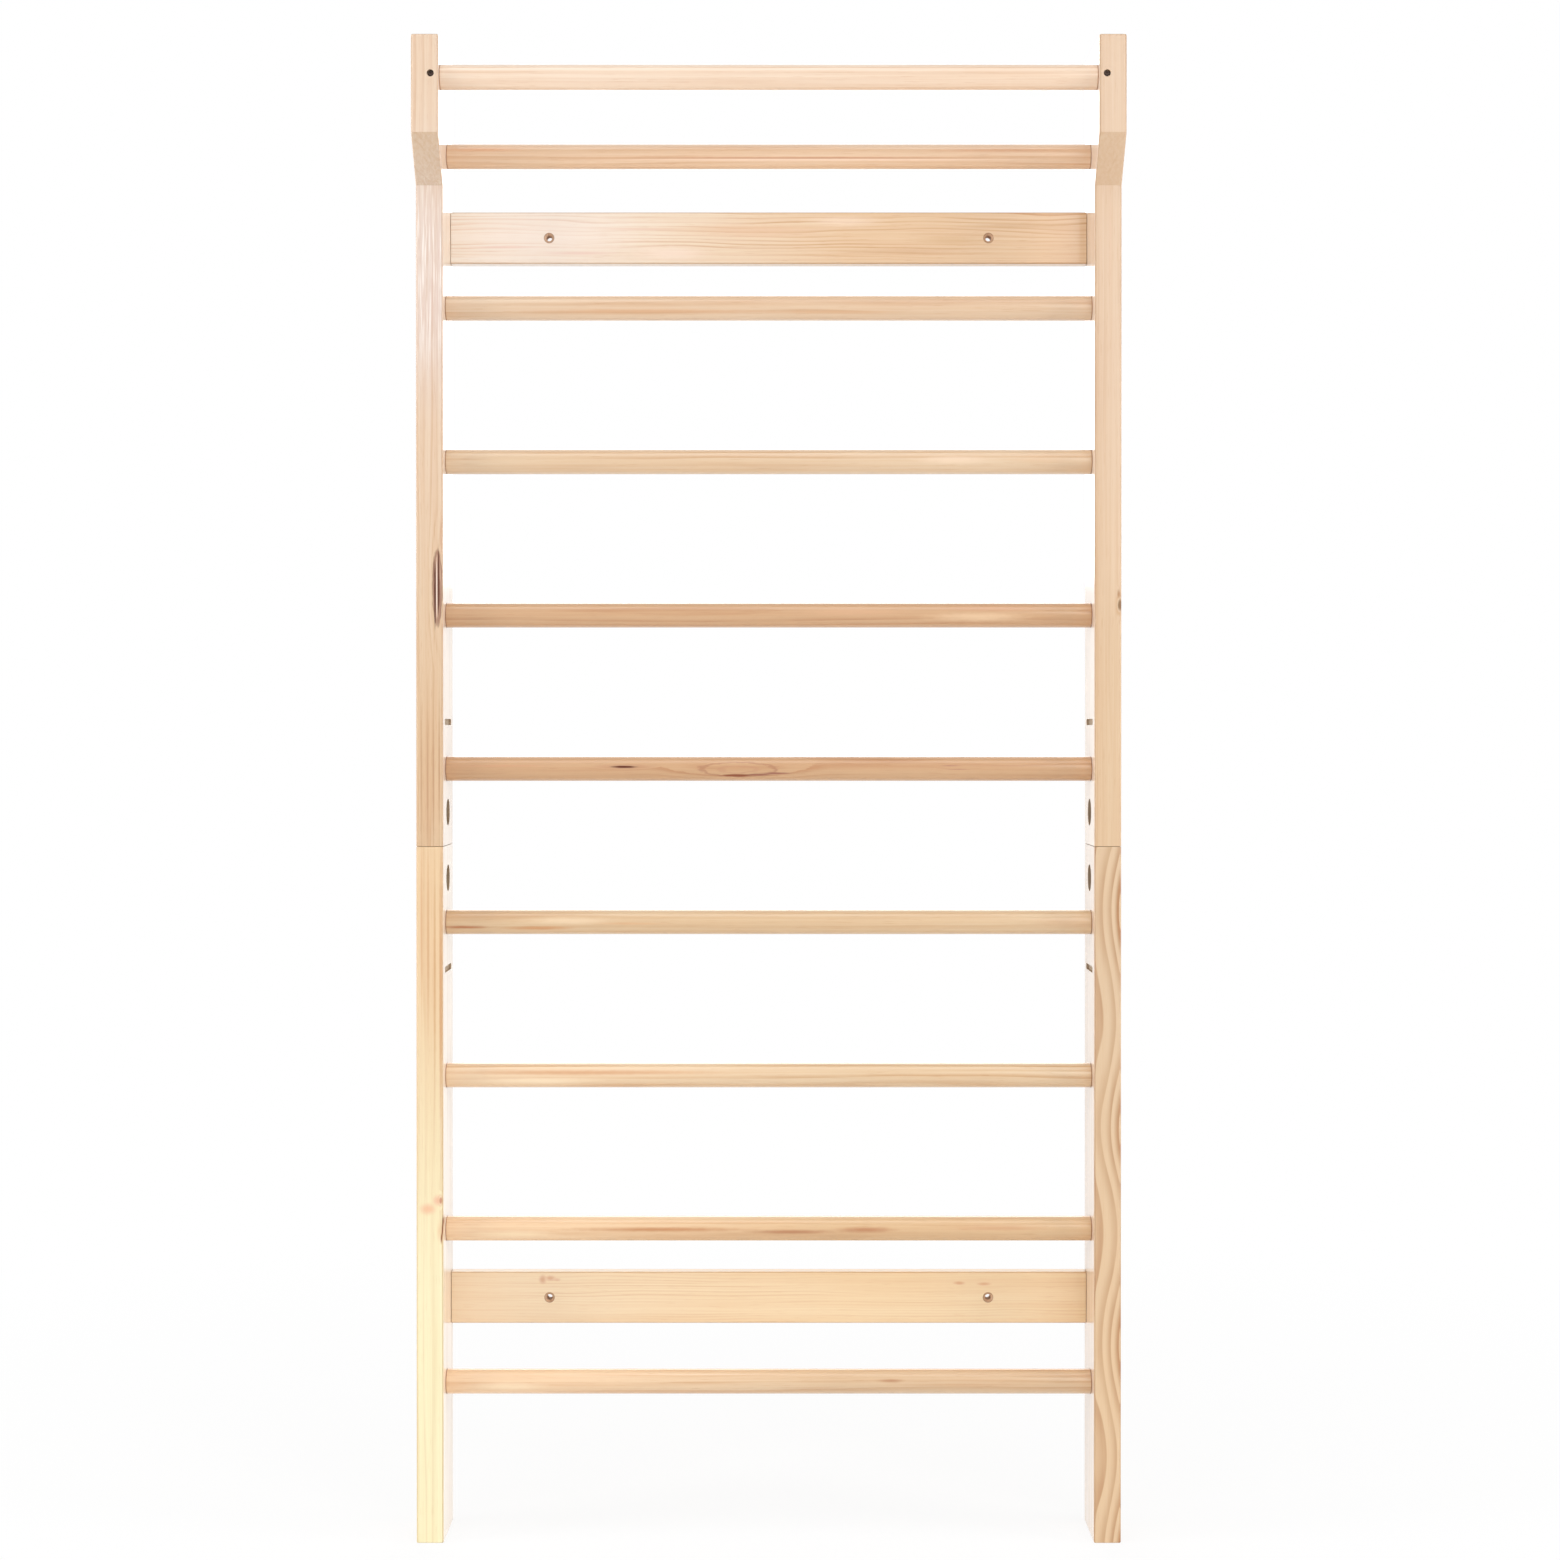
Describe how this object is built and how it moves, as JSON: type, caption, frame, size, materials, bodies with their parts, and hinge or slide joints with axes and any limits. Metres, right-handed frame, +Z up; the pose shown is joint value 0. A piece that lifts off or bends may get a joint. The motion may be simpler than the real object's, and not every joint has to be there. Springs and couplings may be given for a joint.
{
  "type": "wall bars",
  "caption": "Wooden climbing wall bars: round rungs between two posts with a jutting top rung, and flat boards with countersunk holes for fixing to a wall.",
  "frame": {"origin": "on the floor, midway between the posts' feet and midway between the heads' fronts and the wall", "axes": "+Z up, +X to the climber's right as they face the rungs, +Y towards the wall"},
  "size_m": [0.91, 0.145, 1.935],
  "materials": {
    "post_pine": "sanded, clear satin varnish",
    "rung_pine": "turned and sanded, clear satin varnish",
    "board_pine": "sanded, clear satin varnish",
    "dowel_beech": "raw",
    "zinc_steel": "bright zinc plating",
    "black_screw": "blackened"
  },
  "bodies": {
    "root": {"left_upper_post": "post_pine", "right_upper_post": "post_pine", "left_lower_post": "post_pine", "right_lower_post": "post_pine", "rung_01": "rung_pine", "rung_02": "rung_pine", "rung_03": "rung_pine", "rung_04": "rung_pine", "rung_05": "rung_pine", "rung_06": "rung_pine", "rung_07": "rung_pine", "rung_08": "rung_pine", "rung_09": "rung_pine", "rung_10": "rung_pine", "upper_wall_board": "board_pine", "lower_wall_board": "board_pine", "left_seam_dowel_front": "dowel_beech", "left_seam_dowel_back": "dowel_beech", "right_seam_dowel_front": "dowel_beech", "right_seam_dowel_back": "dowel_beech", "left_seam_stud": "zinc_steel", "right_seam_stud": "zinc_steel", "left_seam_washer_upper": "zinc_steel", "left_seam_washer_lower": "zinc_steel", "right_seam_washer_upper": "zinc_steel", "right_seam_washer_lower": "zinc_steel", "left_seam_nut_upper": "zinc_steel", "left_seam_nut_lower": "zinc_steel", "right_seam_nut_upper": "zinc_steel", "right_seam_nut_lower": "zinc_steel", "left_upper_board_screw_top": "zinc_steel", "left_upper_board_screw_bottom": "zinc_steel", "left_lower_board_screw_top": "zinc_steel", "left_lower_board_screw_bottom": "zinc_steel", "right_upper_board_screw_top": "zinc_steel", "right_upper_board_screw_bottom": "zinc_steel", "right_lower_board_screw_top": "zinc_steel", "right_lower_board_screw_bottom": "zinc_steel", "left_top_rung_screw": "black_screw", "right_top_rung_screw": "black_screw"}
  },
  "joints": []
}
